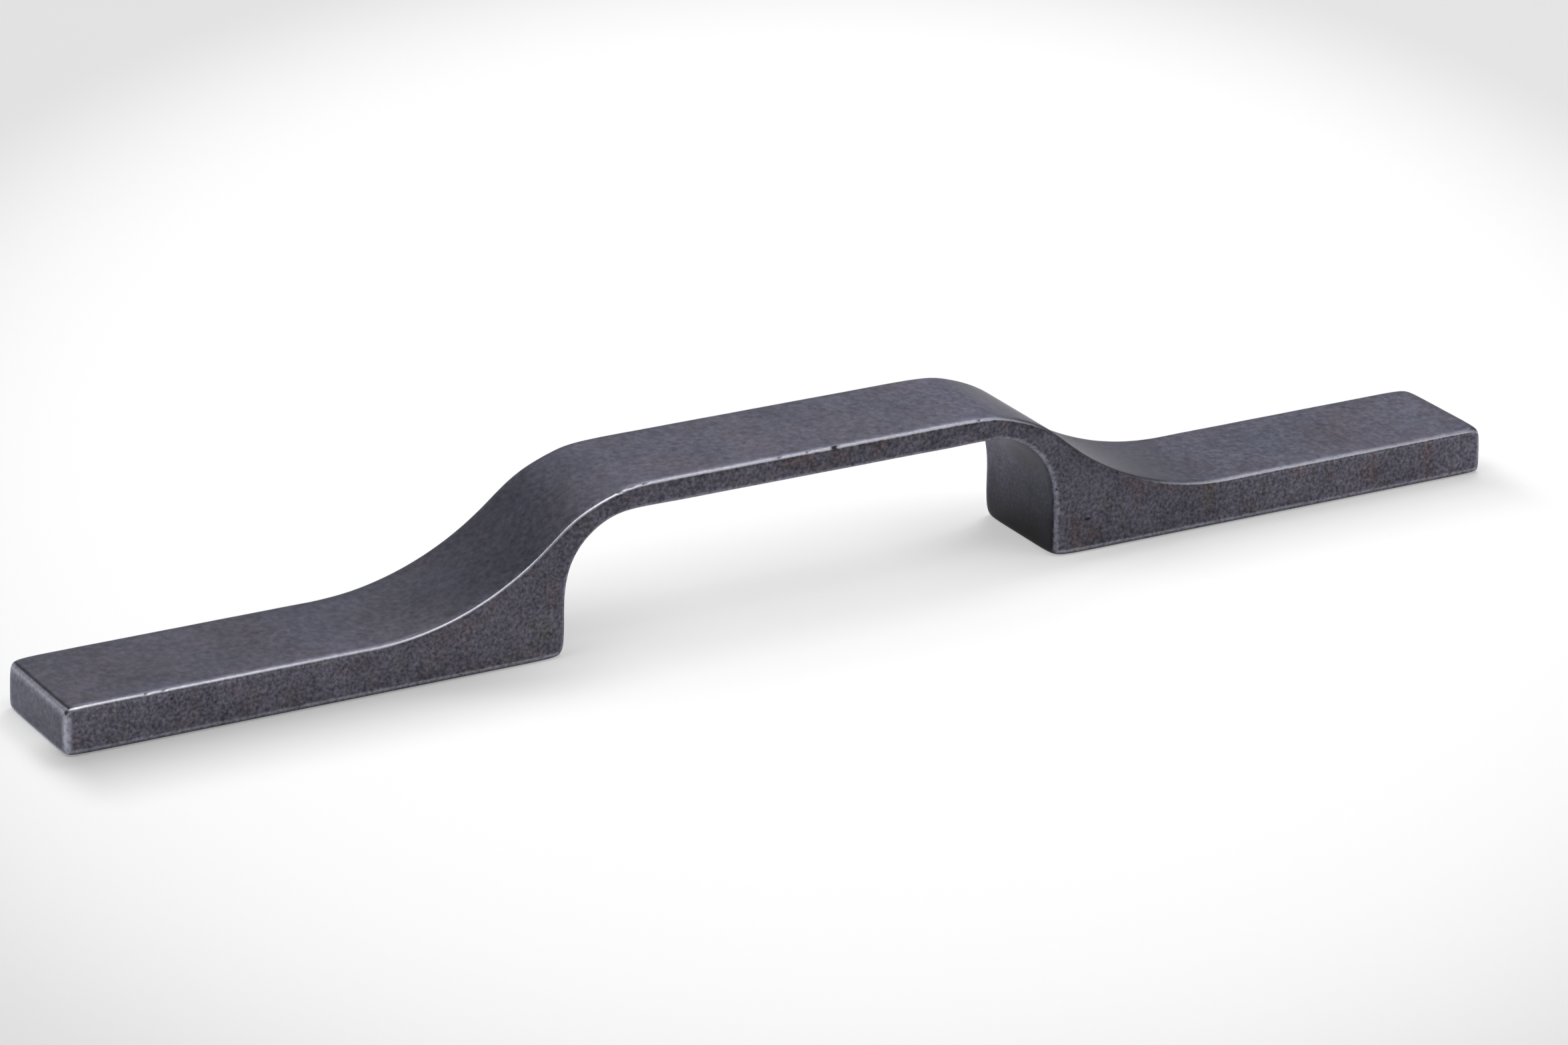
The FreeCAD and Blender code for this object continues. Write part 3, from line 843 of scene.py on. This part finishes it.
class FinishAndPaintedLight:
    """The tumbled surface with its painted light and shade: its colour, roughness and relief at each place
    of the casting.
    """

    def __init__(self, start, looks):
        self.looks = looks
        place = start.node("ShaderNodeTexCoord", output="Object")
        self.place = place
        self.x = place.part("X")
        self.y = place.part("Y")
        self.height = place.part("Z")
        self.outward = self.x.absolute()
        self.flank = start.recorded("flank")
        self.coarse = start.recorded("coarse")
        self.edge = start.recorded("edge")
        self.soft = start.recorded("soft")
        self.dark = start.recorded("scar") + start.recorded("line")
        self.shelter = start.recorded("shelter")
        self.speckle = place.grain(1450, 3, 0.6) - 0.5
        self.mottle = place.times((1.1, 1, 1)).grain(820, 3, 0.6) - 0.5
        self.cloud = place.grain(62) - 0.5
        self.blotch = place.grain(200) - 0.5
        self.pits = place.grain(900, 1, 0.4).ramp(0.72, 0.80)
        self.crown = self.x.within(RIGHT_CROWN)
        self.far_hollow = self.x.within(RIGHT_HOLLOW)
        self.end_face = self.outward.ramp(144.6 * MM, 145.6 * MM)
        self.wear_and_painted_light = self.bare_metal()

    def bare_metal(self):
        """How far the top's edges show bright metal, partly rubbed bare and partly a painted highlight,
        least past the right crown where that highlight is held back.
        """
        highlight_held_back = self.x.within(HIGHLIGHT_HELD_BACK)
        dimmer_highlight = self.x.within(DIMMER_HIGHLIGHT)
        # Bright edge metal: partly rubbed, partly a painted highlight.
        rubbed = ((self.edge - 0.45) * 2.2 + self.speckle * 0.9).clamped()
        return rubbed * (1 - 0.9 * highlight_held_back - 0.2 * dimmer_highlight) * self.looks.rub_and_highlight

    def flank_tone(self):
        """Lightness of the sides: their grain, with painted shade beside the feet and high up, and painted
        light towards the ends.
        """
        grain = 1 + self.speckle * 1.65 + self.blotch * 0.4 + self.cloud * 0.15
        tone = grain.larger(0.3) ** 2
        tone = tone * self.height.ramp(6 * MM, 22 * MM, 1.0, 0.82)
        tone = tone * self.outward.ramp(95 * MM, 142 * MM, 1.0, 1.14)
        beside_foot = self.outward.within(BESIDE_FEET)
        return tone * (1 - beside_foot * (0.1 + self.x * 0.6))

    def top_tone(self):
        """Lightness of the smooth top: its mottle, with painted light that makes it lighter towards the
        right and on the grip.
        """
        tone = (1 + self.mottle * 0.75 + self.cloud * 0.3 + self.speckle * 0.2) ** 2
        tone = tone * self.x.ramp(-50 * MM, 140 * MM, 1.02, 1.33)
        return tone * self.height.ramp(20 * MM, 30 * MM, 0.97, 1.07)

    def shaded(self, tone):
        """The tone with painted shade inside the finger opening, darkest low down and in front, and with
        grain there.
        """
        low = self.height.ramp(1 * MM, 15 * MM, 1.38, 0.85)
        tone = tone * (1 - self.shelter * low * self.looks.shelter)
        depth = self.y.ramp(-4 * MM, 6 * MM, 0.85, 1.5) - 1
        grain = depth + self.speckle * 0.8 + self.blotch * 0.6
        return tone * (1 + self.shelter * grain).larger(0.3)

    def tone(self):
        """Lightness of the whole surface, with painted reflections and shade on the top along the handle
        and on the end faces.
        """
        tone = self.flank_tone() * self.coarse + self.top_tone() * (1 - self.coarse)
        tone = self.shaded(tone.larger(0.15))
        hollow = self.x.within(LEFT_HOLLOW)
        # Painted reflections and shade: lighter on the right crown, darker in the hollows and on the end
        # faces.
        painted_shifts = self.crown * 0.22 - hollow * 0.16 - self.far_hollow * 0.34 - self.end_face * 0.24
        return tone * (1 + (1 - self.flank) * painted_shifts)

    def patina(self):
        """Colour of the unworn finish, before its lightness: stained sides and a cloudy top."""
        looks = self.looks
        warm = self.place.times((1, 1.3, 0.8)).grain(170, 2, 0.6)
        green = self.place.times((1.2, 1, 1)).grain(130, 2, 0.6)
        stained = self.x.ramp(-90 * MM, 20 * MM, 0.4, 0.8)
        side = (warm.ramp(0.5, 0.72) * stained).mix(rgba(looks.flank_colour), rgba(looks.brown_stain))
        side = green.ramp(0.58, 0.76, 0.0, 0.8).mix(side, rgba(looks.olive_stain))
        hue = self.place.grain(70, 3, 0.6).ramp(0.3, 0.7)
        top = hue.mix(rgba(looks.top_colour), rgba(looks.top_warm))
        return self.flank.mix(top, side)

    def tint(self):
        """Base colour: the patina with its painted shade, reflections and casts, then lighter metal and
        bare metal with their painted highlights, then the dark pits and painted dark lines.
        """
        looks = self.looks
        tint = self.patina().times(self.tone())
        # A bluer cast in the painted shade of the finger opening.
        tint = self.shelter.mix(tint, tint.times(OPENING_SHADE_CAST))
        tint = self.end_face.mix(tint, tint.times(END_CAST))
        # A painted reflection tint on the top of the right crown and hollow.
        on_bends = (1 - self.flank) * (self.far_hollow + self.crown * 0.4)
        tint = on_bends.mix(tint, tint.times(BEND_REFLECTION_CAST))
        # Lighter metal on the upright and lower edges, with the painted highlight lines along the sides.
        dull_and_sheen = (self.soft * 1.1 - 0.1 + self.speckle * self.soft * 2.2).clamped() * looks.dull_rub_and_sheen
        tint = dull_and_sheen.mix(tint, rgba(looks.dull_metal_and_sheen_colour))
        shaded_edge = self.x.within(SHADED_EDGE)
        # Painted shade on the top edge where its highlight falls away.
        tint = tint.times(1 - self.edge * shaded_edge * 0.55)
        # Bright metal on the edges: partly worn, partly a painted highlight.
        tint = self.wear_and_painted_light.mix(tint, rgba(looks.bare_metal_and_highlight_colour))
        dark = (self.dark + self.pits * self.coarse * 0.35).clamped()
        return dark.mix(tint, rgba(looks.pit_colour))

    def roughness(self):
        looks = self.looks
        rough = self.flank * looks.flank_roughness + (1 - self.flank) * looks.top_roughness
        rough = rough + self.speckle * 0.18 + self.mottle * 0.08
        return (rough * (1 - self.wear_and_painted_light) + self.wear_and_painted_light * looks.edge_roughness).clamped()

    def relief(self):
        """Fine grain for the bump: rough on the sides, faint on the top, with sunk pits."""
        grain = self.speckle * (self.coarse * 0.8 + 0.2)
        return (grain + self.mottle * 0.3 - self.pits * 0.4) * 0.04


def emptied(holder):
    """A start for the node tree of a new material or world, without the nodes that it comes with."""
    holder.use_nodes = True
    holder.node_tree.nodes.clear()
    return Shade(holder.node_tree)


def cast_material(looks):
    """The tumbled cast metal: mottled blue-grey top, speckled darker sides and rubbed edges, with painted
    shade and highlights.
    """
    material = bpy.data.materials.new("cast_metal")
    start = emptied(material)
    finish = FinishAndPaintedLight(start, looks)
    bump = {"Strength": 0.5, "Distance": 0.6 * MM, "Height": finish.relief()}
    shader = start.principled(
        {
            "Base Color": finish.tint(),
            "Metallic": looks.metal,
            "Roughness": finish.roughness(),
            "Normal": start.node("ShaderNodeBump", {}, bump),
        }
    )
    start.node("ShaderNodeOutputMaterial", {}, {"Surface": shader})
    return material


def floor_material(looks):
    """A matt pale floor, lifted to white where it is looked at, with painted light and shade: a pool of
    light that is a little darker away from the middle, a shadow in front of the wings and more light under
    the grip.

    It can be looked through from below, and light from below reaches the base that rests on it."""
    material = bpy.data.materials.new("studio_floor")
    start = emptied(material)
    place = start.node("ShaderNodeTexCoord", output="Object")
    turn = looks.camera_azimuth
    aside = (place.dot((math.cos(turn), -math.sin(turn), 0)) - looks.pool_aside) * (1 / looks.pool_width)
    ahead = (place.dot((math.sin(turn), math.cos(turn), 0)) - looks.pool_shift) * (1 / looks.pool_depth)
    away = aside * aside + ahead * ahead
    # Painted pool of light: darker away from a bright oval round the casting.
    painted_dip = (away * away).ramp(0.0, 1.075, 0.0, looks.painted_pool_dip)
    far = place.dot(place).ramp(*FLOOR_FADE)
    tone = (1 - painted_dip * (1 - far)) * (1 - painted_contact_shadow(place, looks))
    matt = start.principled(
        {
            "Base Color": tone.mix(BLACK, rgba(looks.floor_colour)),
            "Roughness": 1.0,
            "Specular IOR Level": 0.0,
        }
    )
    glow = start.principled(
        {
            "Base Color": BLACK,
            "Specular IOR Level": 0.0,
            "Emission Color": tone.mix(BLACK, WHITE),
            "Emission Strength": looks.floor_glow,
        }
    )
    # Painted light under the grip: the floor in the finger opening is lifted further to white.
    opening = place.part("X").absolute().ramp(15 * MM, 50 * MM, 1, 0)
    opening = opening * place.part("Y").absolute().ramp(4 * MM, 34 * MM, 1, 0)
    lift = looks.floor_lift + (1 - looks.floor_lift) * far + opening * looks.painted_opening_light
    lift = looked_at(start) * lift
    lifted = start.node("ShaderNodeMixShader", {}, {0: lift, 1: matt, 2: glow})
    below = start.node("ShaderNodeNewGeometry", output="Backfacing")
    reach = start.node("ShaderNodeLightPath", output="Ray Length")
    hidden = below.larger(reach.math("LESS_THAN", reach, 2 * FLOOR_GAP))
    clear = start.node("ShaderNodeBsdfTransparent")
    surface = start.node("ShaderNodeMixShader", {}, {0: hidden, 1: lifted, 2: clear})
    start.node("ShaderNodeOutputMaterial", {}, {"Surface": surface})
    return material


def floor_mesh(looks):
    """A round floor with an upright wall at its rim."""
    turns = np.linspace(0, 2 * math.pi, WALL_SIDES, endpoint=False)
    rim = [(looks.floor_reach * math.cos(turn), looks.floor_reach * math.sin(turn)) for turn in turns]
    points = [(x, y, 0) for x, y in rim] + [(x, y, looks.wall_height) for x, y in rim]
    faces = [tuple(range(WALL_SIDES))]
    for index in range(WALL_SIDES):
        after = (index + 1) % WALL_SIDES
        faces.append((after, index, index + WALL_SIDES, after + WALL_SIDES))
    mesh = bpy.data.meshes.new("studio_floor")
    mesh.from_pydata(points, [], faces)
    return mesh


def painted_contact_shadow(place, looks):
    """The painted shadow: how much darker the floor is in front of the wings."""
    x = place.part("X")
    y = place.part("Y")
    outward = x.absolute()
    along = (outward - FRAME_HIGH.x).larger(0) * 2
    aside = (y.absolute() - FRAME_HIGH.y).larger(0)
    from_wing = (along * along + aside * aside) ** 0.5
    near = from_wing.ramp(0, looks.painted_shadow_reach, 1, 0)
    beside_wing = outward.within(BESIDE_WINGS)
    in_front = y.ramp(-13 * MM, -2 * MM, 1, 0)
    return near * beside_wing * (looks.painted_shadow - x * 0.6) * in_front


def looked_at(start):
    """1 for rays from the camera and for those that a glossy or clear surface sends on."""
    kinds = ("Is Camera Ray", "Is Glossy Ray", "Is Transmission Ray")
    camera, glossy, clear = (start.node("ShaderNodeLightPath", output=kind) for kind in kinds)
    return camera.larger(glossy).larger(clear)


def set_world(looks):
    """An even grey room round the studio."""
    world = bpy.data.worlds.new("studio_world")
    start = emptied(world)
    room = (looks.sky, looks.sky, looks.sky, 1)
    back = start.node("ShaderNodeBackground", {}, {"Color": room, "Strength": 1.0})
    start.node("ShaderNodeOutputWorld", {}, {"Surface": back})
    bpy.context.scene.world = world


def add_lamp(name, place, aim, size, power):
    """A rectangular softbox at a place, turned to its aim."""
    lamp = bpy.data.lights.new(name, "AREA")
    lamp.shape = "RECTANGLE"
    lamp.size, lamp.size_y = size
    lamp.energy = power
    holder = added(name, lamp)
    holder.location = place
    holder.rotation_euler = (Vector(aim) - Vector(place)).to_track_quat("-Z", "Y").to_euler()


def add_camera(looks):
    """The camera, placed round the aim point by its azimuth, elevation, roll and distance."""
    sight = Vector(
        (
            -math.sin(looks.camera_azimuth) * math.cos(looks.camera_elevation),
            -math.cos(looks.camera_azimuth) * math.cos(looks.camera_elevation),
            math.sin(looks.camera_elevation),
        )
    )
    level = Vector((math.cos(looks.camera_azimuth), -math.sin(looks.camera_azimuth), 0))
    upright = sight.cross(level)
    turn = looks.camera_roll
    right = level * math.cos(turn) + upright * math.sin(turn)
    up = upright * math.cos(turn) - level * math.sin(turn)
    aim = Vector((0, 0, looks.aim_height)) + right * looks.aim_right + up * looks.aim_up
    data = bpy.data.cameras.new("camera")
    data.lens = looks.lens
    data.sensor_width = 36
    data.clip_end = 50
    camera = added("camera", data)
    turned = Matrix((right, up, sight)).transposed().to_4x4()
    camera.matrix_world = Matrix.Translation(aim + sight * looks.camera_distance) @ turned
    bpy.context.scene.camera = camera


class HANDLE_OT_casting(Operator):
    """Builds the casting and dresses it in tumbled cast metal"""

    bl_idname = "pull_handle.casting"
    bl_label = "Add Casting"

    def execute(self, context):
        scene = context.scene
        mesh = build_casting(scene.casting_sizes)
        mesh.materials.append(cast_material(scene.finish_looks))
        casting = added("handle_casting", mesh)
        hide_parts(NODE)
        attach(casting, BODY)
        return {"FINISHED"}


class HANDLE_OT_studio(Operator):
    """Adds the floor, the lamps, the room and the camera"""

    bl_idname = "pull_handle.studio"
    bl_label = "Add Studio"

    def execute(self, context):
        looks = context.scene.studio_looks
        mesh = floor_mesh(looks)
        mesh.materials.append(floor_material(looks))
        floor = added("studio_floor", mesh)
        floor.location.z = -FLOOR_GAP
        set_world(looks)
        for name, place, aim, size, power in LAMPS:
            add_lamp(name, place, aim, size, power * looks.lamp_level)
        add_camera(looks)
        context.scene.view_settings.view_transform = "Standard"
        return {"FINISHED"}


class HANDLE_PT_panel(Panel):
    """Lists the steps that build the handle"""

    bl_label = "Pull Handle"
    bl_idname = "HANDLE_PT_panel"
    bl_space_type = "VIEW_3D"
    bl_region_type = "UI"
    bl_category = "Pull Handle"

    def draw(self, context):
        for step in STEPS:
            self.layout.operator(step.bl_idname)


STEPS = (HANDLE_OT_casting, HANDLE_OT_studio)
CLASSES = (CastingSizes, FinishAndLightLooks, StudioLooks, *STEPS, HANDLE_PT_panel)


def register():
    for each in CLASSES:
        bpy.utils.register_class(each)
    bpy.types.Scene.casting_sizes = PointerProperty(type=CastingSizes)
    bpy.types.Scene.finish_looks = PointerProperty(type=FinishAndLightLooks)
    bpy.types.Scene.studio_looks = PointerProperty(type=StudioLooks)


def unregister():
    del bpy.types.Scene.studio_looks
    del bpy.types.Scene.finish_looks
    del bpy.types.Scene.casting_sizes
    for each in reversed(CLASSES):
        bpy.utils.unregister_class(each)


def main():
    register()
    bpy.ops.pull_handle.casting()
    bpy.ops.pull_handle.studio()


if __name__ == "__main__":
    main()
